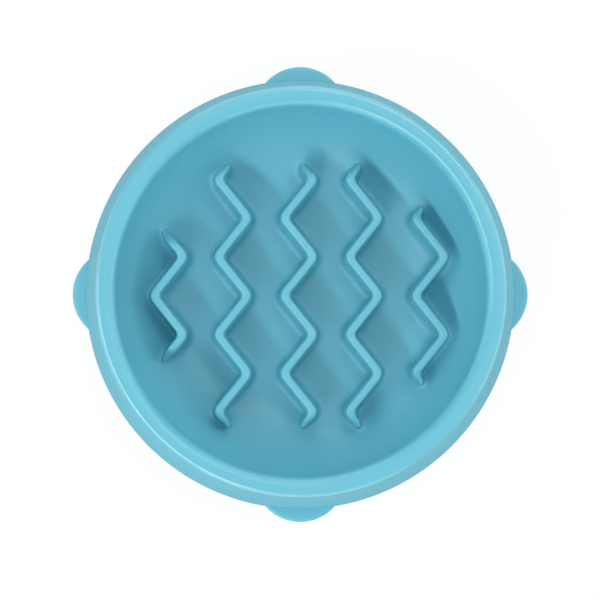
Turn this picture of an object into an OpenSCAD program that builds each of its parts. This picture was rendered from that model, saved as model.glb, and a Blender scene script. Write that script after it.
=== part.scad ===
// Slow feeder bowl: one moulded bowl with five zigzag maze ridges, standing on four rubber feet.
// The origin is on the ground under the middle of the bowl, with +Z up and the front at -Y.

/* [Bowl] */
// Height from the ground to the top of the rim
bowl_h = 40; // [38:0.5:44]
// Height of the gap between the moulding and the ground
ground_gap = 1.5; // [1:0.1:2]
// Wall thickness of the moulding
wall = 2.4; // [2:0.1:3]
// Height of the eating floor above the ground
floor_z = 5; // [4.8:0.1:6]

/* [Skirt and rim] */
// Radius of the rim, where the skirt meets it
rim_r = 80; // [79:0.5:81]
// Width of the rim between the well and the skirt
rim_w = 8.2; // [7.8:0.1:9]
// How much wider the skirt is at its lower edge
skirt_flare = 6.6; // [6:0.1:7.2]
// Rounding on the inner side of the rim
rim_inner_round = 4; // [3:0.1:4.6]
// Rounding on the outer side of the rim
rim_outer_round = 1.8; // [1.2:0.1:2.4]

/* [Base tabs] */
// How far a tab reaches out beyond the lower edge of the skirt
tab_out = 5.1; // [4.4:0.1:7]
// Radius of the round outline of a tab
tab_r = 18.6; // [16:0.1:20]
// Thickness of a tab
tab_t = 3; // [2.4:0.1:4]
// Rounding of the upper edge of a tab
tab_round = 1.2; // [0.6:0.1:1.6]

/* [Maze] */
// Height of the ridges above the eating floor
ridge_h = 17; // [13:0.5:20]
// Width of a ridge at its top
ridge_top_w = 3; // [2.5:0.1:3]
// Draft of the sides of a ridge, in degrees
ridge_draft = 4; // [2:0.5:5]
// Rounding of the upper edges of a ridge
ridge_round = 0.8; // [0.5:0.1:1]
// Radius of the fillet where a ridge meets the floor
foot_fillet = 2.5; // [1.5:0.1:3]
// Distance between the centre lines of two neighbouring ridges, as a share of the rim's radius
ridge_gap_share = 0.325; // [0.315:0.0025:0.33]
// Distance along a ridge between two of its corners, as a share of the rim's radius
corner_step_share = 0.192; // [0.183:0.0015:0.198]
// Bend radius of the middle of a ridge at a corner
bend_r = 0.8; // [0.5:0.1:1.2]

/* [Feet] */
// Wall thickness of the cup that holds a foot
cup_wall = 2; // [1.6:0.1:2.4]
// Radius of a rubber foot
foot_r = 8.8; // [7.8:0.1:9]
// Clearance around a foot in its cup
foot_clearance = 0.2; // [0.1:0.05:0.4]
// Height of a foot
foot_h = 4.3; // [3.8:0.1:4.8]
// Rounding of the lower edge of a foot
foot_round = 0.8; // [0.4:0.1:1.2]
// Width of the grip groove in the sole of a foot
groove_w = 1.2; // [0.8:0.1:1.6]
// Depth of the grip groove in the sole of a foot
groove_depth = 0.6; // [0.4:0.1:1]

/* [Stiffening] */
// Thickness of the ribs under the bowl
rib_t = 1.6; // [1.2:0.1:2]
// Height of the lower edge of the radial ribs above the ground
rib_z = 8; // [6:0.5:12]
// Radius of the round moulding mark under the floor
gate_r = 4; // [3:0.1:5]
// Depth of the round moulding mark under the floor
gate_depth = 0.4; // [0.2:0.1:0.6]

/* [Hidden] */
$fn = 96;
overrun = 1;
plastic = [0.37, 0.71, 0.8];
rubber = [0.2, 0.21, 0.22];

// Heights and radii of the shell
rim_z = bowl_h - rim_inner_round;
shoulder_z = bowl_h - rim_outer_round;
shoulder_r = rim_r - rim_outer_round;
ceiling_z = bowl_h - wall;
underside_z = floor_z - wall;
skirt_base_r = rim_r + skirt_flare;
well_r = rim_r - rim_w;
dish_r = rim_z - floor_z;
dish_flat_r = well_r - dish_r;
skirt_lean = skirt_flare / (shoulder_z - ground_gap);
skirt_wall = wall * sqrt(1 + skirt_lean * skirt_lean);
half_wall = wall / 2;

// Tabs and feet stand at these turns round the bowl, and the ribs between them
tab_c = skirt_base_r + tab_out - tab_r;
FRONT = 270;
RIGHT = 0;
BACK = 90;
LEFT = 180;
tab_turns = [RIGHT, BACK, LEFT, FRONT];
rib_count = 8;
rib_turns = [for (i = [0:rib_count - 1]) (i + 1 / 2) * 360 / rib_count];
seam_turn = 45;
cup_r = foot_r + foot_clearance;
foot_c = skirt_base_r - 2 * wall - cup_r;

// Ridges: their column, the number of corners on each side of the middle, and the share of a step
// by which the ridge runs on past its last corner
ridge_columns = [-2, -1, 0, 1, 2];
last_corners = [1, 3, 3, 3, 2];
run_on_shares = [0.64, 0.34, 0.34, 0.34, 0.23];
ridge_top_z = floor_z + ridge_h;
ridge_root_z = floor_z - half_wall;
ridge_shoulder_z = ridge_top_z - ridge_round;
ridge_gap = rim_r * ridge_gap_share;
corner_step = rim_r * corner_step_share;
swing_share = 0.375;
swing = corner_step * swing_share;
foot_sink_share = 0.12;
foot_c_z = floor_z + foot_fillet * (1 - foot_sink_share);
half_top = ridge_top_w / 2;
half_foot = half_top + (ridge_shoulder_z - foot_c_z) * tan(ridge_draft);
leg_lean = atan2(2 * swing, corner_step);
bend_c = bend_r / cos(leg_lean);
bend_run = bend_r * tan(leg_lean);

// Inner radius of the skirt at a height
function skirt_in(z) = skirt_base_r - skirt_wall - (z - ground_gap) * skirt_lean;

// A corner lies right of its centre line for a side of 1 and left of it for a side of -1
function side(column, k) = abs(column + k) % 2 == 1 ? 1 : -1;
function corner(column, k) = [column * ridge_gap + swing * side(column, k), corner_step * k];
function along(a, b, share) = a + (b - a) * share;

// Outline of the shell as a solid of revolution, before it is hollowed
module envelope_section() {
    polygon([
        [0, ground_gap],
        [skirt_base_r, ground_gap],
        [rim_r, shoulder_z],
        [shoulder_r, shoulder_z],
        [shoulder_r, bowl_h],
        [0, bowl_h],
    ]);
    translate([shoulder_r, shoulder_z]) circle(rim_outer_round);
}

// The space of the well: a flat middle, a round wall that runs up to the rim, and the rim's rounding
module well_section() {
    translate([0, floor_z]) square([dish_flat_r, bowl_h - floor_z + overrun]);
    intersection() {
        translate([dish_flat_r, rim_z]) circle(dish_r);
        translate([dish_flat_r, floor_z]) square(dish_r);
    }
    difference() {
        translate([dish_flat_r, rim_z]) square([dish_r + rim_inner_round, rim_inner_round + overrun]);
        translate([well_r + rim_inner_round, rim_z]) circle(rim_inner_round);
    }
}

// The hollow between dish, rim and skirt, open below, with a skin taken from the walls round it
module hollow_section(skin) {
    low = ground_gap - overrun;
    difference() {
        polygon([
            [0, low],
            [skirt_in(low) + skin, low],
            [skirt_in(ceiling_z) + skin, ceiling_z + skin],
            [well_r + wall - skin, ceiling_z + skin],
            [well_r + wall - skin, rim_z],
            [dish_flat_r, rim_z],
            [dish_flat_r, underside_z + skin],
            [0, underside_z + skin],
        ]);
        translate([dish_flat_r, rim_z]) circle(dish_r + wall - skin);
    }
}

module base_tab() {
    rotate_extrude() {
        polygon([
            [0, 0],
            [tab_r, 0],
            [tab_r, tab_t - tab_round],
            [tab_r - tab_round, tab_t - tab_round],
            [tab_r - tab_round, tab_t],
            [0, tab_t],
        ]);
        translate([tab_r - tab_round, tab_t - tab_round]) circle(tab_round);
    }
}

// The outside of the moulding with its tabs and its well, still solid underneath
module solid_bowl() {
    difference() {
        union() {
            rotate(seam_turn) rotate_extrude() envelope_section();
            for (turn = tab_turns) rotate(turn) translate([tab_c, 0, ground_gap]) base_tab();
        }
        rotate(seam_turn) rotate_extrude() well_section();
    }
}

// Cross-section of a ridge at its true height: drafted sides, rounded top and filleted foot
module ridge_section() {
    polygon([
        [-half_foot, ridge_root_z],
        [half_foot, ridge_root_z],
        [half_foot, foot_c_z],
        [half_top, ridge_shoulder_z],
        [half_top - ridge_round, ridge_shoulder_z],
        [half_top - ridge_round, ridge_top_z],
        [ridge_round - half_top, ridge_top_z],
        [ridge_round - half_top, ridge_shoulder_z],
        [-half_top, ridge_shoulder_z],
        [-half_foot, foot_c_z],
    ]);
    for (s = [-1, 1]) {
        translate([s * (half_top - ridge_round), ridge_shoulder_z]) circle(ridge_round);
        difference() {
            translate([s < 0 ? -half_foot - foot_fillet : 0, ridge_root_z])
                square([half_foot + foot_fillet, foot_c_z - ridge_root_z]);
            translate([s * (half_foot + foot_fillet), foot_c_z]) circle(foot_fillet);
        }
    }
}

// The half of the cross-section beyond an axis of turning, with its middle at the given distance
module right_of(axis_x) {
    intersection() {
        translate([axis_x, 0]) ridge_section();
        translate([0, ridge_root_z]) square([axis_x + half_foot + foot_fillet, ridge_h + wall]);
    }
}

// A straight leg from one point to another
module ridge_leg(a, b) {
    run = b - a;
    translate([a.x, a.y, 0])
        rotate([90, 0, atan2(run.y, run.x) + 90])
            linear_extrude(norm(run)) ridge_section();
}

// The rounded bend at a corner
module ridge_bend(column, k) {
    s = side(column, k);
    c = corner(column, k);
    translate([c.x - s * bend_c, c.y, 0])
        rotate((s > 0 ? 0 : 180) - leg_lean)
            rotate_extrude(angle = 2 * leg_lean) right_of(bend_r);
}

// The round nose at a free end, where the leg arrives in the direction from a to b
module ridge_nose(a, b) {
    run = b - a;
    translate([b.x, b.y, 0])
        rotate(atan2(run.y, run.x) - 90)
            rotate_extrude(angle = 180) right_of(0);
}

// One whole zigzag ridge
module ridge(i) {
    column = ridge_columns[i];
    last = last_corners[i];
    bend_share = bend_run / norm(corner(column, 1) - corner(column, 0));
    for (k = [-last:last]) ridge_bend(column, k);
    for (k = [-last:last - 1]) {
        a = corner(column, k);
        b = corner(column, k + 1);
        ridge_leg(along(a, b, bend_share), along(b, a, bend_share));
    }
    for (s = [-1, 1]) {
        a = corner(column, s * last);
        b = corner(column, s * (last + 1));
        tip = along(a, b, run_on_shares[i]);
        ridge_leg(along(a, b, bend_share), tip);
        ridge_nose(a, tip);
    }
}

module maze() {
    for (i = [0:len(ridge_columns) - 1]) ridge(i);
}

// Cups for the feet, each with a cross of ribs that the foot stands against
module foot_cup() {
    cup_h = bowl_h - ground_gap;
    difference() {
        translate([0, 0, ground_gap]) cylinder(r = cup_r + cup_wall, h = cup_h);
        translate([0, 0, ground_gap - overrun]) cylinder(r = cup_r, h = cup_h + 2 * overrun);
    }
    for (turn = [RIGHT, BACK])
        rotate(turn)
            translate([-cup_r - cup_wall / 2, -rib_t / 2, foot_h])
                cube([2 * cup_r + cup_wall, rib_t, bowl_h - foot_h]);
}

// Foot cups and radial ribs in the hollow, running up into the walls round it
module underside_ribs() {
    intersection() {
        union() {
            for (turn = tab_turns) rotate(turn) translate([foot_c, 0, 0]) foot_cup();
            for (turn = rib_turns)
                rotate(turn)
                    translate([dish_flat_r, -rib_t / 2, rib_z])
                        cube([skirt_base_r - dish_flat_r, rib_t, bowl_h - rib_z]);
        }
        rotate(seam_turn) rotate_extrude() hollow_section(half_wall);
    }
}

module bowl() {
    color(plastic) {
        difference() {
            union() {
                solid_bowl();
                maze();
            }
            rotate(seam_turn) rotate_extrude() hollow_section(0);
            translate([0, 0, underside_z - overrun]) cylinder(r = gate_r, h = overrun + gate_depth);
        }
        underside_ribs();
    }
}

// A round rubber foot with a grip groove in its sole
module foot(turn) {
    color(rubber)
        rotate(turn)
            translate([foot_c, 0, 0])
                difference() {
                    rotate_extrude() {
                        polygon([
                            [0, 0],
                            [foot_r - foot_round, 0],
                            [foot_r - foot_round, foot_round],
                            [foot_r, foot_round],
                            [foot_r, foot_h],
                            [0, foot_h],
                        ]);
                        translate([foot_r - foot_round, foot_round]) circle(foot_round);
                    }
                    translate([0, 0, -overrun])
                        difference() {
                            cylinder(r = foot_r / 2 + groove_w, h = overrun + groove_depth);
                            cylinder(r = foot_r / 2, h = overrun + groove_depth);
                        }
                }
}

bowl();
foot(FRONT);  // foot_front
foot(BACK);  // foot_back
foot(LEFT);  // foot_left
foot(RIGHT);  // foot_right
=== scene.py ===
"""Slow feeder bowl: a moulded dish with zigzag maze ridges, base tabs and rubber feet.

Lengths inside the shape functions are in millimetres; a mesh is written in metres.
"""
import math

import bpy
import numpy as np
from bpy.props import FloatProperty, FloatVectorProperty, PointerProperty
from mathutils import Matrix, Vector


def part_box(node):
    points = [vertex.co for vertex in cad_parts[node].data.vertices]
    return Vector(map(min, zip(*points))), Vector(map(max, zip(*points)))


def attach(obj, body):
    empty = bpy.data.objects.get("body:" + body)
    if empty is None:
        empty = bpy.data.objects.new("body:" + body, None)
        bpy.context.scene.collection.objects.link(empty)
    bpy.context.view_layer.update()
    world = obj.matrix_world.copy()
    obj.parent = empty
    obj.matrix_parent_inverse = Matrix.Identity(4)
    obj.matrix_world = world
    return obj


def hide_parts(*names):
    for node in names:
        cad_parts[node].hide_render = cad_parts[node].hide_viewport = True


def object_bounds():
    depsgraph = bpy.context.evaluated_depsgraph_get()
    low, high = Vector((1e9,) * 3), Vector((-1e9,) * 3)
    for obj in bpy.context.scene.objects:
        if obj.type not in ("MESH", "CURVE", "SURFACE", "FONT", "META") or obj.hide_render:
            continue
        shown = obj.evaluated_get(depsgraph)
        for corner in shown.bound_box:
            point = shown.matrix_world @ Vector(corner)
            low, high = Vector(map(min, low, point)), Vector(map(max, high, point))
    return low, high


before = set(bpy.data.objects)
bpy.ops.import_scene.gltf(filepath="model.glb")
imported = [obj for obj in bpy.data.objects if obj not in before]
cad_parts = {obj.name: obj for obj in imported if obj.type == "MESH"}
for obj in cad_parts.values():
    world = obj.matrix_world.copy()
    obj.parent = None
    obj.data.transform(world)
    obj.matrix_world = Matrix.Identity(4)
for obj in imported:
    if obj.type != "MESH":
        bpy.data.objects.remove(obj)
CAD_BOX = [list(corner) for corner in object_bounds()]
FOOT_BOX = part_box("foot_right")

bl_info = {
    "name": "Slow Feeder Bowl",
    "version": (1, 0, 0),
    "blender": (4, 5, 0),
    "location": "View3D > Sidebar > Bowl",
    "description": "Builds a slow feeder bowl with its maze ridges, feet and a plain studio",
    "category": "Object",
}

# Metres in a millimetre
MM = 0.001

# Directions of the tabs with their feet, and of the ribs between them
TAB_TURNS = np.radians([0.0, 90.0, 180.0, 270.0])
RIB_TURNS = np.radians(22.5 + 45.0 * np.arange(8))
FOOT_NAMES = ("right", "back", "left", "front")

# The five ridges from left to right: the column that each stands in, counted from the middle one,
RIDGE_COLUMNS = (-2, -1, 0, 1, 2)
# the number of its last corner on either side,
LAST_CORNERS = (1, 3, 3, 3, 2)
# how far it runs on past that corner, as a share of the step between corners,
RUN_ON_SHARES = (0.64, 0.34, 0.34, 0.34, 0.23)
# how far it stands to the right of its column, in millimetres,
COLUMN_SHIFTS = (0.6, 0.0, 0.0, -0.2, 0.0)
# and the share of its height that it loses at its tips
END_FALLS = (0.5, 0.25, 0.25, 0.25, 0.25)


# Sizes and colours that a user would change

def length(name, what, default):
    """A length in metres with a name, a description and a default given in millimetres."""
    return FloatProperty(
        name=name, description=what, default=default * MM, min=0.0, unit="LENGTH", precision=5,
    )


def swatch(name, what, default):
    """A colour with a name, a description and a default."""
    return FloatVectorProperty(
        name=name, description=what, default=default, size=3, min=0.0, max=1.0, subtype="COLOR",
    )


class BowlSizes(bpy.types.PropertyGroup):
    """Sizes of the moulded bowl."""

    height: length("Height", "From the ground to the top of the rim", CAD_BOX[1][2] / MM)
    ground_gap: length("Ground gap", "Gap between the moulding and the ground", 1.5)
    wall: length("Wall", "Wall thickness of the moulding", 2.4)
    floor_z: length("Floor height", "Height of the eating floor above the ground", 5.0)
    skirt_base_r: length("Skirt base radius", "Radius of the skirt at its lower edge", 86.6)
    skirt_top_r: length("Skirt top radius", "Radius of the skirt under the rim", 80.0)
    well_r: length("Well radius", "Widest radius of the well under the rim", 71.8)
    rim_inner_round: length("Inner rim rounding", "Rounding on the inner side of the rim", 4.0)
    rim_outer_round: length("Outer rim rounding", "Rounding on the outer side of the rim", 2.5)
    tab_reach: length("Tab reach", "From the middle of the bowl to the tip of a tab", CAD_BOX[1][0] / MM)
    tab_r: length("Tab radius", "Radius of the round outline of a tab", 18.6)
    tab_t: length("Tab thickness", "Thickness of a tab", 3.0)
    tab_round: length("Tab rounding", "Rounding of the upper edge of a tab", 1.2)
    edge_round: length("Edge rounding", "Small rounding of the lower edges", 0.35)
    hollow_round: length("Hollow rounding", "Rounding inside the hollow under the rim", 1.0)
    rib_t: length("Rib thickness", "Thickness of the ribs under the bowl", 1.6)
    rib_z: length("Rib height", "Height of the lower edge of the radial ribs", 8.0)
    rib_start: length("Rib start", "Distance of the ribs' inner ends from the flat floor", 12.0)
    cup_wall: length("Cup wall", "Wall thickness of the cup that holds a foot", 2.0)
    gate_r: length("Gate radius", "Radius of the moulding mark under the floor", 4.0)
    gate_depth: length("Gate depth", "Depth of the moulding mark under the floor", 0.4)


class MazeSizes(bpy.types.PropertyGroup):
    """Sizes of the zigzag ridges."""

    ridge_h: length("Ridge height", "Height of the ridges above the eating floor", 17.0)
    ridge_top_w: length("Ridge width", "Width of a ridge at its top", 3.2)
    ridge_draft: FloatProperty(
        name="Draft", description="Draft of the sides of a ridge",
        default=math.radians(4.0), subtype="ANGLE",
    )
    ridge_round: length("Ridge rounding", "Rounding of the upper edges of a ridge", 1.1)
    foot_fillet: length("Foot fillet", "Fillet where a ridge meets the floor", 2.5)
    ridge_gap: length("Ridge gap", "Distance between neighbouring centre lines", 26.0)
    left_by: length("Left by", "How far the whole maze lies to the left of the bowl's middle", 0.77)
    forward_by: length("Forward by", "How far the whole maze lies in front of the bowl's middle", 0.94)
    corner_step: length("Corner step", "Distance along a ridge between corners", 15.36)
    swing: length("Swing", "Distance of a corner from its centre line, before rounding", 6.2)
    outer_round: length("Outer corner rounding", "Rounding of the points of the zigzag", 4.0)
    inner_round: length("Inner corner rounding", "Rounding of the pockets of the zigzag", 2.8)
    end_taper: length("End taper", "How much thinner each side of a ridge gets towards its end", 0.8)
    end_run: length("End run", "Length over which a ridge gets thinner and lower at its end", 6.0)


class FootSizes(bpy.types.PropertyGroup):
    """Sizes of the rubber feet."""

    radius: length("Foot radius", "Radius of a rubber foot", (FOOT_BOX[1].x - FOOT_BOX[0].x) / 2 / MM)
    height: length("Foot height", "Height of a rubber foot", FOOT_BOX[1].z / MM)
    clearance: length("Clearance", "Clearance around a foot in its cup", 0.2)
    edge_round: length("Foot rounding", "Rounding of the lower edge of a foot", 0.8)
    top_round: length("Top rounding", "Rounding of the upper edge of a foot", 0.3)
    groove_w: length("Groove width", "Width of the grip groove in the sole", 1.2)
    groove_depth: length("Groove depth", "Depth of the grip groove in the sole", 0.6)
    groove_lip: length("Groove lip", "Bevel along both edges of the grip groove", 0.12)


class Finish(bpy.types.PropertyGroup):
    """Colours of the two materials, gloss of the plastic and height of the camera."""

    plastic: swatch("Plastic", "Colour of the moulded plastic", (0.106, 0.428, 0.542))
    rubber: swatch("Rubber", "Colour of the rubber feet", (0.035, 0.037, 0.04))
    roughness: FloatProperty(
        name="Roughness", description="Mean roughness of the plastic", default=0.48, min=0.0, max=1.0,
    )
    camera_height: length("Camera height", "Height of the camera above the ground", 850.0)


def in_mm(group):
    """The sizes of a property group as a plain object, with its lengths in millimetres."""
    values = {}
    for name, prop in group.bl_rna.properties.items():
        if prop.type == "FLOAT" and not prop.is_array:
            value = getattr(group, name)
            values[name] = value / MM if prop.unit == "LENGTH" else value
    return type("Sizes", (), values)


# Shape functions: the bowl's profile

# How many points the arcs and straight stretches of the profile have, ends included
WALL_POINTS, INNER_RIM_POINTS, OUTER_RIM_POINTS, SKIRT_POINTS = 6, 9, 8, 4
INSIDE_POINTS, BEND_POINTS, UNDERSIDE_POINTS = 3, 4, 10
# Where the rings on a tab lie: shares of the way over its flat top to its rounding, angles on the
# rounding, shares of the way down its side, and angles on the rounding of the bottom edge
TAB_TOP_SHARES, TAB_ROUND_ANGLES = (0.12, 0.5, 1.0), (18, 36, 54, 72, 90)
TAB_SIDE_SHARES, BOTTOM_ANGLES = (0.5, 1.0), (45, 90)
# Where the rings on the flat underside of the floor lie, as shares of its radius
UNDER_FLOOR_SHARES = (0.66, 0.33)
# Run between the two rings of the moulding mark's sharp step, in millimetres
STEP_RUN = 0.01


def dish_circle(s):
    """Middle (r, z) and radius of the quarter circle that the wall of the well follows."""
    rim_z = s.height - s.rim_inner_round
    dish_r = rim_z - s.floor_z
    return s.well_r - dish_r, rim_z, dish_r


def dish_z(s, r):
    """Height of the well at radius r: flat in the middle, then a quarter circle up to the rim."""
    flat_r, rim_z, dish_r = dish_circle(s)
    out = np.clip(r - flat_r, 0, dish_r)
    return rim_z - np.sqrt(dish_r**2 - out**2)


def skirt_lean(s):
    """Outward run of the skirt for each unit down."""
    return (s.skirt_base_r - s.skirt_top_r) / (s.height - s.rim_outer_round - s.ground_gap)


def skirt_r(s, z):
    """Outer radius of the skirt at height z."""
    return s.skirt_base_r - (z - s.ground_gap) * skirt_lean(s)


def arc(centre, radius, start, stop, count):
    """Points (r, z) on a circle about centre from one angle in degrees to another, both ends included."""
    a = np.radians(np.linspace(start, stop, count))
    return np.stack([centre[0] + radius * np.cos(a), centre[1] + radius * np.sin(a)], 1)


def upper_rings(s, start_r):
    """Points (r, z) from the well's wall at start_r over the rim to just above the tabs."""
    flat_r, rim_z, dish_r = dish_circle(s)
    first = math.degrees(math.asin((start_r - flat_r) / dish_r)) - 90
    wall = arc((flat_r, rim_z), dish_r, first, 0, WALL_POINTS)[1:]
    inner_middle = (s.well_r + s.rim_inner_round, rim_z)
    inner = arc(inner_middle, s.rim_inner_round, 180, 90, INNER_RIM_POINTS)[1:]
    outer_middle = (s.skirt_top_r - s.rim_outer_round, s.height - s.rim_outer_round)
    last = math.degrees(math.atan(skirt_lean(s)))
    outer = arc(outer_middle, s.rim_outer_round, 90, last, OUTER_RIM_POINTS)
    z = np.linspace(outer[-1, 1], s.ground_gap + s.tab_t, SKIRT_POINTS)[1:]
    return np.concatenate([wall, inner, outer, np.stack([skirt_r(s, z), z], 1)])


def tab_outline(s, turn):
    """Radius of the tabs' outline in the direction turn, or 0 beside a tab.

    A ray from the middle meets the far side of a circle of radius tab_r about a point at
    tab_c at tab_c cos a + sqrt(tab_r^2 - (tab_c sin a)^2), with a the angle to the tab's axis.
    """
    tab_c = s.tab_reach - s.tab_r
    a = (turn + math.pi / 4) % (math.pi / 2) - math.pi / 4
    under = s.tab_r**2 - (tab_c * np.sin(a)) ** 2
    return np.where(under > 0, tab_c * np.cos(a) + np.sqrt(np.maximum(under, 0)), 0)


def tab_rings(s, turn):
    """Rings (k, n, 2) from the foot of the skirt over the tabs' rounded edge to the bottom edge.

    Beside a tab the same points run straight down the skirt, spread evenly over its height.
    """
    top = s.ground_gap + s.tab_t
    low = s.ground_gap + s.edge_round
    level = 0 * turn
    edge = tab_outline(s, turn)
    inside = edge > skirt_r(s, s.ground_gap)
    room = np.maximum(edge - skirt_r(s, top), 0)
    rounding = np.minimum(s.tab_round, room)
    on_tab = [(skirt_r(s, top) + share * (room - rounding), top + level) for share in TAB_TOP_SHARES]
    for a in np.radians(TAB_ROUND_ANGLES):
        on_tab.append((edge - rounding * (1 - np.sin(a)), top - rounding * (1 - np.cos(a))))
    for share in TAB_SIDE_SHARES:
        on_tab.append((edge, (top - s.tab_round) * (1 - share) + low * share + level))
    rings = []
    for k, (r, z) in enumerate(on_tab):
        plain_z = top + (low - top) * (k + 1) / len(on_tab)
        plain_r = skirt_r(s, plain_z)
        r = np.where(inside, np.maximum(r, plain_r), plain_r)
        rings.append(np.stack([r, np.where(inside, z, plain_z)], 1))
    outer_r = rings[-1][:, 0]
    for a in np.radians(BOTTOM_ANGLES):
        r = outer_r - s.edge_round * (1 - np.cos(a))
        rings.append(np.stack([r, low - s.edge_round * np.sin(a) + level], 1))
    return np.array(rings)


def lower_rings(s):
    """Points (r, z) from the skirt's lower edge up inside the hollow and along the dish's underside."""
    flat_r, rim_z, dish_r = dish_circle(s)
    skirt_wall = s.wall * math.sqrt(1 + skirt_lean(s) ** 2)

    def inner_r(z):
        return skirt_r(s, z) - skirt_wall

    low = s.ground_gap
    edge = [(inner_r(low) + s.edge_round, low), (inner_r(low + s.edge_round), low + s.edge_round)]
    bend_z = s.height - s.wall - s.hollow_round
    z = np.linspace(low + s.edge_round, bend_z, INSIDE_POINTS)[1:]
    up = np.stack([inner_r(z), z], 1)
    bend_out = arc((inner_r(bend_z) - s.hollow_round, bend_z), s.hollow_round, 0, 90, BEND_POINTS)[1:]
    bend_in = arc((s.well_r + s.wall + s.hollow_round, bend_z), s.hollow_round, 90, 180, BEND_POINTS)
    under = arc((flat_r, rim_z), dish_r + s.wall, 0, -90, UNDERSIDE_POINTS)
    under_z = s.floor_z - s.wall
    flat = [(flat_r * share, under_z) for share in UNDER_FLOOR_SHARES]
    gate = [(s.gate_r + STEP_RUN, under_z), (s.gate_r, under_z + s.gate_depth)]
    return np.concatenate([edge, up, bend_out, bend_in, under, flat, gate])


# Shape functions: the maze

# Half the length of the maze's grid, the radius on which its left and right edges lie, and the radius of
# the first true circle round it, in millimetres
GRID_REACH, GRID_SIDE_R, CIRCLE_R = 57.0, 65.5, 69.5
# Steps along a ridge's middle for its outline and for distances from it
LINE_STEP, COARSE_LINE_STEP = 0.05, 0.1
# How far a side can reach past the ends of its upper edge, how near a ridge distances from it are worked
# out, and a distance that stands for being clear of every ridge
FOOT_REACH, SEARCH, CLEAR = 12.0, 8.0, 9.0
# Rounding of a side's pockets just under its top, and its growth for each unit further out
POCKET_ROUND, POCKET_GROWTH = 0.2, 0.5
# Distances from the top's edge at which the outline of a side is worked out, first, last and step, and
# how many there are on half the top
SIDE_FROM, SIDE_TO, SIDE_STEP, TOP_DISTANCES = 0.15, 6.0, 0.35, 6
# Stands for a side that isn't there
NO_EDGE = -1e3
# Angles at which the top's rounding and the fillet at the foot are cut into faces, and the shares of
# the drafted side between them
CROWN_ANGLES, FILLET_ANGLES, SIDE_SHARES = (0, 24, 45, 64, 80), (22, 40, 58, 76), (0.02, 0.5, 1.0)
# The last column of a ridge lies this far past its fillet
PAST_FILLET = 0.3
# Distance from a ridge's middle at which the floor under its side is read
FLOOR_READ_AT = 2.5
# Rows of the grid: their step and the step near corners, how near that is, and the least room to a tip's
# own rows, which lie at these distances from the tip
ROW_STEP, CORNER_ROW_STEP, CORNER_REACH, ROW_ROOM = 0.76, 0.39, 1.9, 0.3
TIP_ROWS = np.array([
    -1.2, -0.6, -0.2, 0.15, 0.45, 0.75, 1.0, 1.14, 1.24, 1.4, 1.58, 1.76, 1.95, 2.2, 2.6, 3.2, 4.0,
])
# Past a tip the ridge's columns turn outwards over a run and lie close together, as a share of their
# full width, and from a distance on they spread again over a run by a further share
TURN_RUN, CLOSE_SHARE, SPREAD_FROM, SPREAD_RUN, SPREAD_SHARE = 12.0, 0.12, 5.0, 9.0, 0.25
# Faces between neighbouring ridges in a row
GAP_FACES = 7
# How far from a ridge's upper edge its rubbed line fades, and how high above the floor it starts
RUBBED_FADE, RUBBED_FROM = 0.45, 1.0
# How many points are compared with a ridge's line at once
BATCH = 2000


def centre_line(m, i, step=LINE_STEP):
    """Points (y, x) along the middle of ridge i, a plain zigzag between its corners.

    Their number is odd, so that one of them is the middle of the ridge.
    """
    column, last = RIDGE_COLUMNS[i], LAST_CORNERS[i]
    k = np.arange(-last - 1, last + 2)
    side = np.where(np.abs(column + k) % 2 == 1, 1.0, -1.0)
    tip = m.corner_step * (last + RUN_ON_SHARES[i])
    y = np.linspace(-tip, tip, int(2 * tip / step) | 1)
    return y, np.interp(y, m.corner_step * k, column * m.ridge_gap + COLUMN_SHIFTS[i] + m.swing * side)


def window_extreme(values, half_chord, best):
    """The best, np.max or np.min, of a curve's values over a sliding window.

    Before that a half disc's widths are added for the largest, or taken away for the smallest.
    """
    sign = 1 if best is np.max else -1
    reach = len(half_chord) // 2
    padded = np.pad(values, reach, constant_values=-sign * np.inf)
    windows = np.lib.stride_tricks.sliding_window_view(padded, len(half_chord))
    return best(windows + sign * half_chord, axis=1)


def half_disc(d, step):
    """Half widths sqrt(d^2 - t^2) of a disc of radius d at every step t across it."""
    t = np.arange(-int(d / step), int(d / step) + 1) * step
    return np.sqrt(np.maximum(d**2 - t**2, 0))


def grown_edge(line_y, line_x, y, d):
    """Right edge at each y of all discs of radius d about the line: max of x + sqrt(d^2 - (y - yl)^2)."""
    gap = d**2 - (y[:, None] - line_y[None]) ** 2
    return np.where(gap >= 0, line_x[None] + np.sqrt(np.maximum(gap, 0)), -np.inf).max(1)


def crown_edge(m, i, sign):
    """Points (y, x) along the right (or with sign -1 left) edge of ridge i's top, past both ends.

    The zigzag is shifted sideways by half / cos of its lean, which mitres its corners. Then the points
    are rounded by shrinking and growing, and the pockets by growing and shrinking. The ends are half discs.
    """
    half = m.ridge_top_w / 2
    line_y, line_x = centre_line(m, i)
    line_x = sign * line_x
    step = line_y[1] - line_y[0]
    pad = int((half + 2 * (m.outer_round + m.inner_round)) / step)
    y = line_y[0] + np.arange(-pad, len(line_y) + pad) * step
    lean = math.atan2(2 * m.swing, m.corner_step)
    past = np.maximum(np.abs(y) - line_y[-1], 0)
    outward = np.sign(np.where(y > 0, line_x[-1] - line_x[-2], line_x[0] - line_x[1]))
    run_on = past * math.tan(lean) * outward
    edge = np.interp(y, line_y, line_x) + run_on + half / math.cos(lean)
    for radius, first, second in ((m.outer_round, np.min, np.max), (m.inner_round, np.max, np.min)):
        disc = half_disc(radius, step)
        edge = window_extreme(window_extreme(edge, disc, first), disc, second)
    last_corner = m.corner_step * LAST_CORNERS[i]
    free = np.abs(y) > last_corner + (line_y[-1] - last_corner) / 2
    edge = np.where(free, grown_edge(line_y, line_x, y, half), edge)
    known = np.isfinite(edge)
    return y[known], edge[known]


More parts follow.
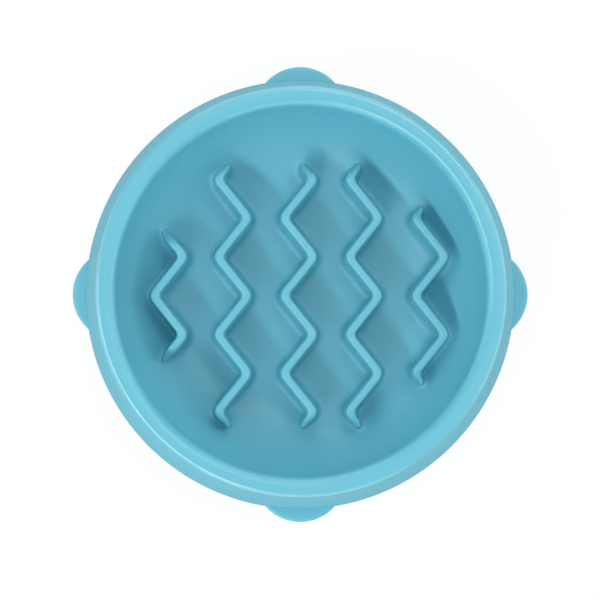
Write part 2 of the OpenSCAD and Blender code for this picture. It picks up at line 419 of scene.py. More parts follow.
def side_edges(m, i, sign, y, d_grid):
    """Right (or with sign -1 left) edge of ridge i at each y for each distance d, as a table.

    Inside the top it lies between the middle and the top's edge. Further out the edge is grown by
    d - half + rounding and shrunk again by the rounding, so that the pockets get rounder downwards.
    """
    half = m.ridge_top_w / 2
    line_y, line_x = centre_line(m, i)
    line_x = sign * line_x
    edge_y, edge_x = crown_edge(m, i, sign)
    step = edge_y[1] - edge_y[0]
    pad = int(FOOT_REACH / step)
    far_y = edge_y[0] + np.arange(-pad, len(edge_y) + pad) * step
    far_x = np.pad(edge_x, pad, constant_values=-np.inf)
    table = np.full((len(y), len(d_grid)), -np.inf)
    inside = np.abs(y) <= line_y[-1]
    middle = np.interp(y[inside], line_y, line_x)
    crown = np.interp(y[inside], edge_y, edge_x)
    for k, d in enumerate(d_grid):
        if d <= half:
            table[inside, k] = middle + (crown - middle) * d / half
        else:
            rounding = POCKET_ROUND + POCKET_GROWTH * (d - half)
            grown = window_extreme(far_x, half_disc(d - half + rounding, step), np.max)
            smooth = window_extreme(grown, half_disc(rounding, step), np.min)
            smooth = np.maximum(smooth, window_extreme(far_x, half_disc(d - half, step), np.max))
            table[inside, k] = np.interp(y[inside], far_y, np.maximum(smooth, NO_EDGE))
        if d > 0:
            table[~inside, k] = grown_edge(line_y, line_x, y[~inside], d)
    return table


def shoulder_z(s, m):
    """Height at which the rounding of a ridge's upper edge turns into the drafted side."""
    return s.floor_z + m.ridge_h - m.ridge_round


def fillet_place(s, m, floor):
    """Distance and height of the middle of the fillet at a ridge's foot, and where it meets the side."""
    z = floor + m.foot_fillet
    drafted = (shoulder_z(s, m) - z) * math.tan(m.ridge_draft)
    d = m.ridge_top_w / 2 + drafted + m.foot_fillet / math.cos(m.ridge_draft)
    return d, z, d - m.foot_fillet * math.cos(m.ridge_draft)


def side_profile(s, m, d, floor):
    """Height of a ridge and its foot at distance d from the centre line over a floor at a height.

    Flat top, quarter-round edge, drafted side, and a quarter circle that runs out on the floor.
    """
    half = m.ridge_top_w / 2
    shoulder = shoulder_z(s, m)
    rounded = np.clip(d - half + m.ridge_round, 0, m.ridge_round)
    crown = shoulder + np.sqrt(np.maximum(m.ridge_round**2 - rounded**2, 0))
    z = np.where(d <= half, crown, shoulder - (d - half) / math.tan(m.ridge_draft))
    middle_d, middle_z, touch = fillet_place(s, m, floor)
    in_fillet = np.clip(middle_d - d, 0, m.foot_fillet)
    fillet = middle_z - np.sqrt(np.maximum(m.foot_fillet**2 - in_fillet**2, 0))
    foot = np.where(d >= middle_d, floor, fillet)
    return np.where(d > touch, foot, z)


def side_stations(s, m, floor):
    """Distances from the centre line at which a side is cut into faces, over a floor at a height."""
    half = m.ridge_top_w / 2
    middle_d, _, touch = fillet_place(s, m, floor)
    crown = half - m.ridge_round + m.ridge_round * np.sin(np.radians(CROWN_ANGLES))
    stations = [d + 0 * floor for d in crown]
    stations += [half + (touch - half) * share for share in SIDE_SHARES]
    stations += [middle_d - m.foot_fillet * math.cos(math.radians(a)) for a in FILLET_ANGLES]
    return np.stack([*stations, middle_d + PAST_FILLET], -1)


def end_share(m, y, tip):
    """How far a ridge has gone into its tapered end at each y: 0 before it and 1 at the tip, eased."""
    t = np.clip((np.abs(y) - tip + m.end_run) / m.end_run, 0, 1)
    return t * t


def floor_at(s, m, x, y):
    """Height of the well under a point of the maze, which is moved to its place afterwards."""
    return dish_z(s, np.hypot(x - m.left_by, y - m.forward_by))


def maze_rows(m):
    """The y of each row of the maze's grid: closer at corners, and closest where ridges end."""
    tips = {round(m.corner_step * (last + share), 6) for last, share in zip(LAST_CORNERS, RUN_ON_SHARES)}
    tip_rows = np.concatenate([tip + TIP_ROWS for tip in sorted(tips)])
    corners = m.corner_step * np.arange(max(LAST_CORNERS) + 1)
    rows = []
    y = 0.0
    while y < GRID_REACH:
        y += CORNER_ROW_STEP if np.abs(corners - y).min() < CORNER_REACH else ROW_STEP
        if y < GRID_REACH - ROW_ROOM and np.abs(tip_rows - y).min() > ROW_ROOM:
            rows.append(y)
    half = np.sort([*rows, *tip_rows, GRID_REACH])
    return np.concatenate([-half[::-1], [0.0], half])


def ridge_columns(s, m, i, y, edge_x):
    """The columns of the grid that belong to ridge i: their x, distances and lowering in each row.

    They follow both sides at fixed stations from crown to foot. Past the tips they draw together
    on the ridge's own line and spread again, and their distance is -1, which stands for not known.
    """
    half = m.ridge_top_w / 2
    outside = half + np.arange(SIDE_FROM, SIDE_TO, SIDE_STEP)
    d_grid = np.concatenate([np.linspace(0, half, TOP_DISTANCES), outside])
    line_y, line_x = centre_line(m, i)
    tip = line_y[-1]
    past = np.maximum(np.abs(y) - tip, 0)
    share = end_share(m, y, tip)
    turned = np.clip(past / TURN_RUN, 0, 1)
    turned = turned**2 * (3 - 2 * turned)
    middle = np.interp(y, line_y, line_x)
    middle *= 1 + turned * (edge_x / math.sqrt(GRID_SIDE_R**2 - tip**2) - 1)
    spread = CLOSE_SHARE + SPREAD_SHARE * np.clip((past - SPREAD_FROM) / SPREAD_RUN, 0, 1) ** 2
    sides = []
    for sign in (-1, 1):
        edges = side_edges(m, i, sign, y, d_grid)
        station = side_stations(s, m, floor_at(s, m, middle + sign * FLOOR_READ_AT, y))
        thin = np.maximum(station - m.end_taper * share[:, None], 0)
        offset = np.full_like(station, NO_EDGE)
        for row, (at, known) in enumerate(zip(edges, np.isfinite(edges))):
            if known.any():
                offset[row] = np.interp(thin[row], d_grid[known], at[known], left=NO_EDGE)
        offset = np.maximum(offset - sign * middle[:, None], station * spread[:, None])
        sides.append((middle[:, None] + sign * offset, np.where(past[:, None] > 0, -1, station)))
    (left_x, left_d), (right_x, right_d) = sides
    middle_d = np.where(past[:, None] > 0, -1.0, 0.0)
    x = np.concatenate([left_x[:, ::-1], middle[:, None], right_x], 1)
    distance = np.concatenate([left_d[:, ::-1], middle_d, right_d], 1)
    return x, distance, np.repeat(END_FALLS[i] * share[:, None], x.shape[1], 1)


def line_distance(x, y, line_x, line_y):
    """Distance of each point from the nearest point of a line: min of sqrt(dx^2 + dy^2), in batches."""
    nearest = np.empty(len(x))
    for part in np.array_split(np.arange(len(x)), max(1, len(x) // BATCH)):
        gap = (x[part, None] - line_x[None]) ** 2 + (y[part, None] - line_y[None]) ** 2
        nearest[part] = np.sqrt(gap.min(1))
    return nearest


def plain_columns(x):
    """Columns that belong to no ridge: their x, distances that aren't known yet, and no lowering."""
    return x, -np.ones_like(x), 0 * x


def maze_grid(s, m):
    """The well's floor with its ridges as a grid: returns x, y, z and how near each point is to an edge.

    Rows are cut at constant y. Each ridge brings its own columns, with even columns between them.
    """
    row_y = maze_rows(m)
    edge_x = np.sqrt(GRID_SIDE_R**2 - row_y**2)
    ridges = [ridge_columns(s, m, i, row_y, edge_x) for i in range(len(RIDGE_COLUMNS))]
    shares = np.arange(1, GAP_FACES) / GAP_FACES
    parts = [plain_columns(-edge_x[:, None])]
    for columns in (*ridges, plain_columns(edge_x[:, None])):
        start, stop = parts[-1][0][:, -1:], columns[0][:, :1]
        parts += [plain_columns(start + (stop - start) * shares), columns]
    x, d, low = (np.concatenate(part, 1) for part in zip(*parts))
    y = np.broadcast_to(row_y[:, None], x.shape)
    unknown = d < 0
    d = np.where(unknown, CLEAR, d)
    for i, (column, fall) in enumerate(zip(RIDGE_COLUMNS, END_FALLS)):
        line_y, line_x = centre_line(m, i, COARSE_LINE_STEP)
        beside = np.abs(x - column * m.ridge_gap) < m.swing + SEARCH
        near = unknown & beside & (np.abs(y) < line_y[-1] + SEARCH)
        share = end_share(m, y[near], line_y[-1])
        reach = line_distance(x[near], y[near], line_x, line_y) + m.end_taper * share
        low[near] = np.where(reach < d[near], fall * share, low[near])
        d[near] = np.minimum(d[near], reach)
    floor = floor_at(s, m, x, y)
    z = floor + (np.maximum(side_profile(s, m, d, floor), floor) - floor) * (1 - low)
    edge_d = m.ridge_top_w / 2 - m.ridge_round / 2
    wear = np.exp(-(((d - edge_d) / RUBBED_FADE) ** 2)) * (z > floor + RUBBED_FROM)
    return x - m.left_by, y - m.forward_by, z, wear


# Mesh making

def grid_quads(index, wrap=False):
    """Four-cornered faces between neighbouring rows and columns of a table of vertex numbers."""
    if wrap:
        index = np.concatenate([index, index[:, :1]], 1)
    return np.stack([index[:-1, :-1], index[1:, :-1], index[1:, 1:], index[:-1, 1:]], -1).reshape(-1, 4)


def make_object(name, points, faces, attributes=None, smooth_angle=40.0):
    """A mesh object at the origin from points in millimetres and tables of three- or four-cornered faces."""
    mesh = bpy.data.meshes.new(name)
    sizes = np.concatenate([np.full(len(f), f.shape[1]) for f in faces])
    corners = np.concatenate([f.ravel() for f in faces]).astype(np.int32)
    starts = np.concatenate([[0], np.cumsum(sizes)[:-1]]).astype(np.int32)
    mesh.vertices.add(len(points))
    mesh.vertices.foreach_set("co", (points * MM).astype(np.float32).ravel())
    mesh.loops.add(len(corners))
    mesh.loops.foreach_set("vertex_index", corners)
    mesh.polygons.add(len(sizes))
    mesh.polygons.foreach_set("loop_start", starts)
    mesh.update(calc_edges=True)
    for key, values in (attributes or {}).items():
        layer = mesh.attributes.new(key, "FLOAT", "POINT")
        layer.data.foreach_set("value", values.astype(np.float32))
    mesh.shade_smooth()
    mesh.set_sharp_from_angle(angle=math.radians(smooth_angle))
    if mesh.validate():
        raise RuntimeError(f"{name}: the mesh had faults")
    piece = bpy.data.objects.new(name, mesh)
    bpy.context.scene.collection.objects.link(piece)
    return piece


def spun(profile, turn):
    """Points (k, n, 3) of rings: each profile point (r, z) turned to every angle.

    A profile (k, n, 2) has its own point for each angle.
    """
    r, z = profile[..., 0], profile[..., 1]
    if r.ndim == 1:
        r, z = r[:, None], z[:, None]
    return np.stack([r * np.cos(turn), r * np.sin(turn), z + 0 * turn * r], -1)


def ring_solid(profile, centre, count=96):
    """A closed solid of revolution about an upright line at centre, from a profile (r, z).

    The profile starts and ends at radius 0, where its points become single poles.
    """
    turn = np.linspace(0, 2 * math.pi, count, endpoint=False)
    body = spun(profile[1:-1], turn)
    body[..., :2] += centre
    poles = np.array([[*centre, profile[0, 1]], [*centre, profile[-1, 1]]])
    points = np.concatenate([body.reshape(-1, 3), poles])
    index = np.arange(body.shape[0] * count).reshape(-1, count)
    after = np.roll(index, -1, 1)
    first, last = len(points) - 2, len(points) - 1
    caps = [
        np.stack([np.full(count, first), index[0], after[0]], 1),
        np.stack([np.full(count, last), after[-1], index[-1]], 1),
    ]
    return points, [grid_quads(index, wrap=True), *caps]


def closed_wall(path, bottom, top, thick, closed=False):
    """An upright wall along a flat path, its middle on the path, from bottom to top at each point.

    Four lines run beside the path: low left, low right, top right and top left.
    """
    ahead = np.roll(path, -1, 0) - np.roll(path, 1, 0)
    if not closed:
        ahead[0], ahead[-1] = path[1] - path[0], path[-1] - path[-2]
    ahead /= np.linalg.norm(ahead, axis=1, keepdims=True)
    beside = np.stack([ahead[:, 1], -ahead[:, 0]], 1) * thick / 2
    rows = []
    for sign, z in ((-1, bottom), (1, bottom), (1, top), (-1, top)):
        rows.append(np.column_stack([path + sign * beside, z + 0 * path[:, 0]]))
    index = np.arange(4 * len(path)).reshape(4, len(path))
    ring = np.concatenate([index, index[:1]], 0)
    faces = [grid_quads(ring, wrap=closed)[:, ::-1]]
    if not closed:
        faces += [index[:, 0][None], index[::-1, -1][None]]
    return np.concatenate(rows), faces


# The moulded bowl

# Within this angle of a corner of a tab's outline the columns outside the maze are drawn to that corner,
# down to this share of their spacing
PULL_SPAN, PULL_SHARE = math.radians(6), 0.3
# Rings of the band between the edge of the maze's grid and the first true circle
BAND_RINGS = 6
# Points along a rib, round a cup and along a rib across a cup
RIB_POINTS, CUP_POINTS, CROSS_POINTS = 40, 72, 20
# Least height of a radial rib, and of a cup's wall and ribs, in millimetres
LEAST_RIB, LEAST_CUP = 0.2, 0.5


def roof_middle(s, r):
    """Height in the middle of the wall that roofs the hollow at radius r: dish, rim or skirt."""
    flat_r, rim_z, dish_r = dish_circle(s)
    middle_r = dish_r + s.wall / 2
    dish = rim_z - np.sqrt(np.maximum(middle_r**2 - np.clip(r - flat_r, 0, middle_r) ** 2, 0))
    inward = np.clip(s.well_r + s.rim_inner_round - r, 0, s.rim_inner_round)
    rim = rim_z + np.sqrt(s.rim_inner_round**2 - inward**2) - s.wall / 2
    skirt = s.ground_gap + (s.skirt_base_r - s.wall / 2 - r) / skirt_lean(s)
    return np.minimum(np.where(r < s.well_r + s.wall / 2, dish, rim), skirt)


def hollow_top(s, r, thick):
    """Height to which a wall of a thickness runs up at radius r, lowest across its thickness."""
    return np.minimum.reduce([roof_middle(s, r + share * thick) for share in (-0.5, 0, 0.5)])


def radial_ribs(s):
    """Eight closed ribs in the hollow, from under the dish's wall out to the skirt."""
    parts = []
    for turn in RIB_TURNS:
        r = np.linspace(dish_circle(s)[0] + s.rib_start, s.skirt_base_r - s.wall, RIB_POINTS)
        r = r[hollow_top(s, r, s.rib_t) > s.rib_z + LEAST_RIB]
        path = np.stack([r * math.cos(turn), r * math.sin(turn)], 1)
        parts.append(closed_wall(path, s.rib_z, hollow_top(s, r, s.rib_t), s.rib_t))
    return parts


def foot_centre(s, f, turn):
    """Place of a foot's middle in the direction turn: two walls and the cup's radius in from the skirt."""
    r = s.skirt_base_r - 2 * s.wall - f.radius - f.clearance
    return r * np.array([math.cos(turn), math.sin(turn)])


def foot_cup(s, f, turn):
    """The closed wall of the cup that holds a foot, and a cross of two ribs over the foot."""
    cup_r = f.radius + f.clearance
    middle = foot_centre(s, f, turn)
    a = np.linspace(0, 2 * math.pi, CUP_POINTS, endpoint=False)
    path = middle + (cup_r + s.cup_wall / 2) * np.stack([np.cos(a), np.sin(a)], 1)
    top = np.maximum(hollow_top(s, np.hypot(*path.T), s.cup_wall), s.ground_gap + LEAST_CUP)
    parts = [closed_wall(path, s.ground_gap, top, s.cup_wall, closed=True)]
    for across in (turn, turn + math.pi / 2):
        t = np.linspace(-cup_r - s.cup_wall / 2, cup_r + s.cup_wall / 2, CROSS_POINTS)
        path = middle + t[:, None] * np.array([math.cos(across), math.sin(across)])
        top = np.maximum(hollow_top(s, np.hypot(*path.T), s.rib_t), f.height + LEAST_CUP)
        parts.append(closed_wall(path, f.height, top, s.rib_t))
    return parts


def column_turns(s, loop_xy, rows, cols):
    """Directions of the columns outside the maze: even between the four corners of its grid.

    They are drawn to each corner of a tab's outline by u -> share u + (1 - share) u^3, with u from
    -1 to 1 across the span, so that the outline comes out crisp there.
    """
    turn = np.unwrap(np.arctan2(loop_xy[:, 1], loop_xy[:, 0]))
    turn = np.append(turn, turn[0] + 2 * math.pi)
    corners = np.cumsum([0, cols - 1, rows - 1, cols - 1, rows - 1])
    turn = np.interp(np.arange(len(loop_xy)), corners, turn[corners])
    skirt, tab_c = skirt_r(s, s.ground_gap), s.tab_reach - s.tab_r
    corner = math.acos((skirt**2 + tab_c**2 - s.tab_r**2) / (2 * skirt * tab_c))
    for at in [tab + sign * corner for tab in TAB_TURNS for sign in (-1, 1)]:
        u = ((turn - at + math.pi) % (2 * math.pi) - math.pi) / PULL_SPAN
        turn = turn + (np.abs(u) < 1) * PULL_SPAN * (PULL_SHARE * u + (1 - PULL_SHARE) * u**3 - u)
    return turn


def band_rings(s, loop_xy, turn):
    """Rings (k, n, 3) on the well's wall from the edge of the maze's grid to the first true circle."""
    circle = CIRCLE_R * np.stack([np.cos(turn), np.sin(turn)], 1)
    share = np.arange(1, BAND_RINGS + 1)[:, None, None] / BAND_RINGS
    flat = loop_xy + (circle - loop_xy) * share
    return np.concatenate([flat, dish_z(s, np.hypot(flat[..., 0], flat[..., 1]))[..., None]], -1)


def bowl_mesh(s, m, f):
    """The whole moulding: maze grid, a band out to the wall, rim, skirt, tabs, hollow and stiffening.

    Only the maze is rubbed, so the wear of all other points is 0.
    """
    x, y, z, wear = maze_grid(s, m)
    grid = np.stack([x, y, z], -1).reshape(-1, 3)
    index = np.arange(x.size).reshape(x.shape)
    loop = np.concatenate([index[0, :-1], index[:-1, -1], index[-1, :0:-1], index[:0:-1, 0]])
    loop_xy = grid[loop, :2]
    turn = column_turns(s, loop_xy, *x.shape)
    outside = [upper_rings(s, CIRCLE_R), tab_rings(s, turn), lower_rings(s)]
    rings = np.concatenate([band_rings(s, loop_xy, turn), *[spun(profile, turn) for profile in outside]])
    table = np.concatenate([loop[None], x.size + np.arange(rings[..., 0].size).reshape(-1, len(turn))])
    middle = x.size + rings[..., 0].size
    points = [grid, rings.reshape(-1, 3), [[0, 0, rings[-1, 0, 2]]]]
    gate = np.stack([np.full(len(turn), middle), np.roll(table[-1], -1), table[-1]], 1)
    faces = [grid_quads(index)[:, ::-1], grid_quads(table, wrap=True), gate]
    total = middle + 1
    cups = [part for turn in TAB_TURNS for part in foot_cup(s, f, turn)]
    for part_points, part_faces in radial_ribs(s) + cups:
        points.append(part_points)
        faces += [part + total for part in part_faces]
        total += len(part_points)
    return np.concatenate(points), faces, {"wear": np.pad(wear.ravel(), (0, total - wear.size))}


# The rubber feet

# Points on the rounding of the sole's edge and of the upper edge
SOLE_POINTS, TOP_POINTS = 7, 4


def foot_profile(f):
    """Points (r, z) of a foot from the middle of its top down to the middle of its grooved sole."""
    groove_in = f.radius / 2
    groove_out = groove_in + f.groove_w
    lip, deep = f.groove_lip, f.groove_depth
    sole = [
        (0, 0), (groove_in - lip, 0), (groove_in, lip), (groove_in, deep),
        (groove_out, deep), (groove_out, lip), (groove_out + lip, 0),
    ]
    edge = arc((f.radius - f.edge_round, f.edge_round), f.edge_round, -90, 0, SOLE_POINTS)
    top = arc((f.radius - f.top_round, f.height - f.top_round), f.top_round, 0, 90, TOP_POINTS)
    return np.concatenate([sole, edge, top, [(0, f.height)]])[::-1]


# Materials

# Places of the Mix node's share and two colours among its inputs, and of its colour among its outputs
MIX_SHARE, MIX_FIRST, MIX_SECOND, MIX_RESULT = 0, 6, 7, 2
# Gains on a colour: darker and lighter mottling of the plastic, its rubbed edges, and clean and dusty rubber
DARKER, LIGHTER, RUBBED = (0.94, 0.97, 0.98), (1.06, 1.03, 1.02), (1.9, 1.25, 1.2)
CLEAN, DUSTY = (0.8, 0.8, 0.8), (2.0, 2.0, 2.0)
# Heights of the materials' bumps in metres
PLASTIC_BUMP, RUBBER_BUMP = 0.00006, 0.00008
# Metres over which the rim gets smooth above its inner rounding's foot, and over which its outer edge gets
# shiny, from this far inside the outer rounding on
SMOOTH_RUN, SHINY_RUN, SHINY_MARGIN = 0.0025, 0.000625, 0.0002


class Link:
    """A shader socket on which plain arithmetic works by adding Math nodes."""

    def __init__(self, tree, socket):
        self.tree, self.socket = tree, socket

    def math(self, operation, first, second, clamp=False):
        settings = {"operation": operation, "use_clamp": clamp}
        return self.tree.node("ShaderNodeMath", first, second, settings=settings)

    def __add__(self, other):
        return self.math("ADD", self, other)

    def __sub__(self, other):
        return self.math("SUBTRACT", self, other)

    def __rsub__(self, other):
        return self.math("SUBTRACT", other, self)

    def __mul__(self, other):
        return self.math("MULTIPLY", self, other)

    def __pow__(self, other):
        return self.math("POWER", self, other)

    __radd__, __rmul__ = __add__, __mul__

    def clamped(self):
        return self.math("ADD", self, 0.0, clamp=True)


class Tree:
    """A new material's nodes, with one method that makes any node."""

    def __init__(self, name):
        self.material = bpy.data.materials.new(name)
        self.material.use_nodes = True
        self.nodes = self.material.node_tree.nodes
        self.nodes.clear()

    def plug(self, socket, value):
        """Links a socket to another one, or sets it to a plain value."""
        if isinstance(value, Link):
            self.material.node_tree.links.new(value.socket, socket)
        else:
            socket.default_value = value

    def node(self, kind, *values, settings=None, out=0, **named):
        """Adds a node, sets its settings, then its inputs in order or by name, and returns an output."""
        node = self.nodes.new(kind)
        for key, value in (settings or {}).items():
            setattr(node, key, value)
        for socket, value in zip(node.inputs, values):
            self.plug(socket, value)
        for key, value in named.items():
            self.plug(node.inputs[key.replace("_", " ")], value)
        return Link(self, node.outputs[out]) if len(node.outputs) else None

    def noise(self, where, scale, detail=2.0, roughness=0.5):
        """Smooth noise from 0 to 1 over the object's own coordinates, with scale in features a metre."""
        return self.node(
            "ShaderNodeTexNoise", Vector=where, Scale=scale, Detail=detail, Roughness=roughness,
        )

    def mix_colour(self, share, first, second):
        """First where share is 0 and second where it is 1."""
        node = self.nodes.new("ShaderNodeMix")
        node.data_type = "RGBA"
        for place, value in ((MIX_SHARE, share), (MIX_FIRST, first), (MIX_SECOND, second)):
            self.plug(node.inputs[place], value)
        return Link(self, node.outputs[MIX_RESULT])

    def finish(self, shader):
        """Gives the material its surface and returns it."""
        self.node("ShaderNodeOutputMaterial", shader)
        return self.material


def tinted(colour, gain):
    """A colour with each channel times gain, as four numbers."""
    return (*[min(1.0, c * g) for c, g in zip(colour, gain)], 1.0)


def plastic_material(s, finish):
    """Satin moulded plastic: faint mottling, a fine moulded grain and rubbed crests.

    The rim is smoother, without the grain, and its outer edge has a shiny coat.
    """
    tree = Tree("bowl_plastic")
    where = tree.node("ShaderNodeTexCoord", out="Object")
    broad = tree.noise(where, scale=28.0, detail=3.0)
    fine = tree.noise(where, scale=420.0, detail=4.0, roughness=0.6)
    grain = tree.noise(where, scale=2600.0)
    wear = tree.node("ShaderNodeAttribute", settings={"attribute_name": "wear"}, out="Fac")
    mottled = tree.mix_colour(broad, tinted(finish.plastic, DARKER), tinted(finish.plastic, LIGHTER))
    rub = (wear * (0.10 + fine * 0.14)).clamped()
    colour = tree.mix_colour(rub, mottled, tinted(finish.plastic, RUBBED))
    x, y, z = (tree.node("ShaderNodeSeparateXYZ", where, out=axis) for axis in "XYZ")
    smooth_z = (s.height - s.rim_inner_round) * MM
    smooth = ((z - smooth_z) * (1 / SMOOTH_RUN)).clamped()
    shiny_r = (s.skirt_top_r - s.rim_outer_round) * MM - SHINY_MARGIN
    shiny = (((x * x + y * y) ** 0.5 - shiny_r) * (1 / SHINY_RUN)).clamped()
    roughness = (finish.roughness - 0.04) + broad * 0.05 + fine * 0.04 - wear * 0.04 - smooth * 0.2
    relief = (grain * 0.6 + fine * 0.8) * (1.0 - smooth)
    bump = tree.node("ShaderNodeBump", Strength=0.05, Distance=PLASTIC_BUMP, Height=relief)
    shader = tree.node(
        "ShaderNodeBsdfPrincipled",
        Base_Color=colour, Roughness=roughness, Normal=bump, IOR=1.49, Specular_IOR_Level=0.7,
        Coat_Weight=smooth * shiny * 0.8, Coat_Roughness=0.2, Coat_IOR=1.5,
    )
    return tree.finish(shader)


def rubber_material(finish):
    """Matt rubber with a fine grain and a little dust in it."""
    tree = Tree("foot_rubber")
    where = tree.node("ShaderNodeTexCoord", out="Object")
    dust = tree.noise(where, scale=260.0, detail=4.0, roughness=0.65)
    grain = tree.noise(where, scale=3200.0)
    colour = tree.mix_colour(dust, tinted(finish.rubber, CLEAN), tinted(finish.rubber, DUSTY))
    relief = grain + dust * 0.5
    bump = tree.node("ShaderNodeBump", Strength=0.35, Distance=RUBBER_BUMP, Height=relief)
    shader = tree.node(
        "ShaderNodeBsdfPrincipled",
        Base_Color=colour, Roughness=0.72 + dust * 0.15, Normal=bump,
    )
    return tree.finish(shader)


# The stage

# Lamps: name, direction round the bowl and height in degrees, width and height in metres, and power
LAMPS = (
    ("strip_left", 216, 46, 1.4, 0.16, 7.4),
    ("strip_back", 60, 58, 0.8, 0.14, 1.6),
    ("high_back", 90, 58, 1.4, 1.4, 2.4),
    ("high_right", 10, 60, 1.6, 1.6, 3.2),
    ("high_front", 280, 62, 1.4, 1.4, 0.6),
    ("low_right", 0, 18, 1.4, 0.6, 3.6),
    ("low_back", 90, 18, 1.4, 0.6, 2.6),
    ("low_front", 270, 18, 1.4, 0.6, 2.4),
    ("skirt_right", 0, 7, 1.2, 0.2, 0.9),
    ("skirt_back", 90, 7, 1.2, 0.2, 1.3),
    ("skirt_left", 180, 7, 1.2, 0.2, 2.2),
    ("skirt_front", 270, 7, 1.2, 0.2, 1.8),
)
# The point that the lamps look at and their distance from it in metres
LAMP_AIM, LAMP_DISTANCE = (0, 0, 0.02), 1.1
# The strength of the light from all round, and its colour, which the floor's white shares
AIR_LIGHT, WHITE = 0.36, (1.0, 1.0, 1.0, 1.0)
# The floor: half its width in metres, and two greys
FLOOR_HALF, FLOOR_GREY, FLOOR_PALE_GREY = 6.0, (0.86, 0.86, 0.86, 1), (0.88, 0.88, 0.88, 1)
# How much of the floor is plain white instead, to the camera and mirrored in the plastic, and how strong
# the white is where it isn't the camera that sees it
FLOOR_SEEN, FLOOR_MIRRORED, FLOOR_DIM = 0.9, 0.75, 0.15
# The camera: its place right of and behind the bowl's middle (here left and in front) and its near and far
# limits in metres, its sensor and lens in millimetres, and the shift that sets the bowl's place in the frame
CAMERA_X, CAMERA_Y, CAMERA_NEAR, CAMERA_FAR = -0.008, -0.027, 0.01, 50.0
SENSOR_WIDTH, LENS, SHIFT_X, SHIFT_Y = 36.0, 126.0, 0.0328, 0.1025


def floor_material():
    """Pale floor that the camera sees near white, with the bowl's shadow still on it.

    Mirrored in the plastic it is darker, so that the skirt keeps its own colour.
    """
    tree = Tree("studio_floor")
    seen = tree.node("ShaderNodeLightPath", out="Is Camera Ray")
    mirrored = tree.node("ShaderNodeLightPath", out="Is Glossy Ray")
    where = tree.node("ShaderNodeTexCoord", out="Object")
    pale = tree.mix_colour(tree.noise(where, scale=9.0), FLOOR_GREY, FLOOR_PALE_GREY)
    paint = tree.node("ShaderNodeBsdfDiffuse", pale)
    white = tree.node("ShaderNodeEmission", WHITE, seen * (1 - FLOOR_DIM) + FLOOR_DIM)
    share = seen * FLOOR_SEEN + mirrored * FLOOR_MIRRORED
    return tree.finish(tree.node("ShaderNodeMixShader", share, paint, white))


def make_floor():
    """A square floor under the bowl."""
    corners = FLOOR_HALF * np.array([[-1, -1, 0], [1, -1, 0], [1, 1, 0], [-1, 1, 0]]) / MM
    floor = make_object("studio_floor", corners, [np.array([[0, 1, 2, 3]])])
    floor.data.materials.append(floor_material())


def soft_lamp(name, turn, rise, width, height, power):
    """An area lamp that looks at the bowl from a direction and height in degrees."""
    data = bpy.data.lights.new(name, "AREA")
    data.shape, data.size, data.size_y, data.energy = "RECTANGLE", width, height, power
    lamp = bpy.data.objects.new(name, data)
    turn, rise = math.radians(turn), math.radians(rise)
    away = Vector((math.cos(turn) * math.cos(rise), math.sin(turn) * math.cos(rise), math.sin(rise)))
    lamp.location = Vector(LAMP_AIM) + LAMP_DISTANCE * away
    lamp.rotation_euler = away.to_track_quat("Z", "Y").to_euler()
    bpy.context.scene.collection.objects.link(lamp)


def make_air(scene):
    """Even white light from all round."""
    scene.world = bpy.data.worlds.new("studio_air")
    scene.world.use_nodes = True
    background = scene.world.node_tree.nodes["Background"]
    background.inputs["Color"].default_value = WHITE
    background.inputs["Strength"].default_value = AIR_LIGHT


def make_camera(scene, camera_height):
    """A camera that looks straight down on the bowl."""
    data = bpy.data.cameras.new("camera_above")
    data.sensor_width, data.lens = SENSOR_WIDTH, LENS
    data.shift_x, data.shift_y = SHIFT_X, SHIFT_Y
    data.clip_start, data.clip_end = CAMERA_NEAR, CAMERA_FAR
    camera = bpy.data.objects.new("camera_above", data)
    camera.location = (CAMERA_X, CAMERA_Y, camera_height)
    scene.collection.objects.link(camera)
    scene.camera = camera


# Operators and panel

def sizes_and_finish(context):
    """The bowl, maze and foot sizes in millimetres, and the finish."""
    scene = context.scene
    return in_mm(scene.feeder_bowl), in_mm(scene.feeder_maze), in_mm(scene.feeder_foot), scene.feeder_finish


def dress(piece, material):
    """Gives a piece its material and its body."""
    piece.data.materials.append(material)
    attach(piece, "root")


class FEEDER_OT_bowl(bpy.types.Operator):
    """Make the moulded bowl with its maze ridges"""

    bl_idname = "feeder.bowl"
    bl_label = "Make bowl"

    def execute(self, context):
        s, m, f, finish = sizes_and_finish(context)
        piece = make_object("moulded_bowl", *bowl_mesh(s, m, f))
        dress(piece, plastic_material(s, finish))
        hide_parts("bowl")
        return {"FINISHED"}


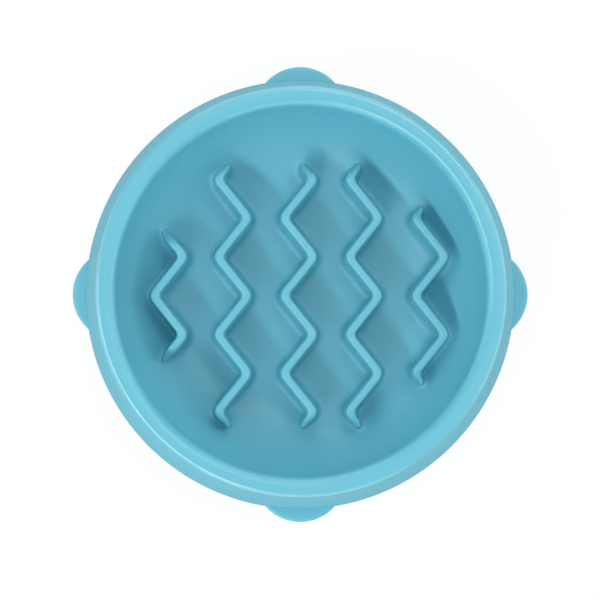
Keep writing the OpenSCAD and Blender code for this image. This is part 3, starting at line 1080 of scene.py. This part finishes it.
class FEEDER_OT_feet(bpy.types.Operator):
    """Make the four rubber feet"""

    bl_idname = "feeder.feet"
    bl_label = "Make feet"

    def execute(self, context):
        s, _, f, finish = sizes_and_finish(context)
        material = rubber_material(finish)
        for name, turn in zip(FOOT_NAMES, TAB_TURNS):
            solid = ring_solid(foot_profile(f), foot_centre(s, f, turn))
            piece = make_object(f"rubber_foot_{name}", *solid, smooth_angle=35.0)
            dress(piece, material)
            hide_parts(f"foot_{name}")
        return {"FINISHED"}


class FEEDER_OT_stage(bpy.types.Operator):
    """Make the pale floor, the soft light and the camera above the bowl"""

    bl_idname = "feeder.stage"
    bl_label = "Make stage"

    def execute(self, context):
        scene = context.scene
        make_floor()
        for lamp in LAMPS:
            soft_lamp(*lamp)
        make_air(scene)
        make_camera(scene, scene.feeder_finish.camera_height)
        scene.view_settings.view_transform = "Standard"
        return {"FINISHED"}


class FEEDER_PT_panel(bpy.types.Panel):
    """Lists the bowl's sizes and the buttons that make its pieces"""

    bl_idname = "FEEDER_PT_panel"
    bl_label = "Slow Feeder Bowl"
    bl_space_type = "VIEW_3D"
    bl_region_type = "UI"
    bl_category = "Bowl"

    def draw(self, context):
        for group in GROUPS:
            box = self.layout.box()
            values = getattr(context.scene, group)
            for name in values.__annotations__:
                box.prop(values, name)
        for operator in OPERATORS:
            self.layout.operator(operator.bl_idname)


OPERATORS = (FEEDER_OT_bowl, FEEDER_OT_feet, FEEDER_OT_stage)
GROUPS = {
    "feeder_bowl": BowlSizes,
    "feeder_maze": MazeSizes,
    "feeder_foot": FootSizes,
    "feeder_finish": Finish,
}
CLASSES = (*GROUPS.values(), *OPERATORS, FEEDER_PT_panel)


def register():
    """Makes the classes known to Blender and gives each scene its sizes."""
    for item in CLASSES:
        bpy.utils.register_class(item)
    for name, group in GROUPS.items():
        setattr(bpy.types.Scene, name, PointerProperty(type=group))


def unregister():
    """Takes away what register made."""
    for name in GROUPS:
        delattr(bpy.types.Scene, name)
    for item in reversed(CLASSES):
        bpy.utils.unregister_class(item)


def main():
    register()
    bpy.ops.feeder.bowl()
    bpy.ops.feeder.feet()
    bpy.ops.feeder.stage()


if __name__ == "__main__":
    main()
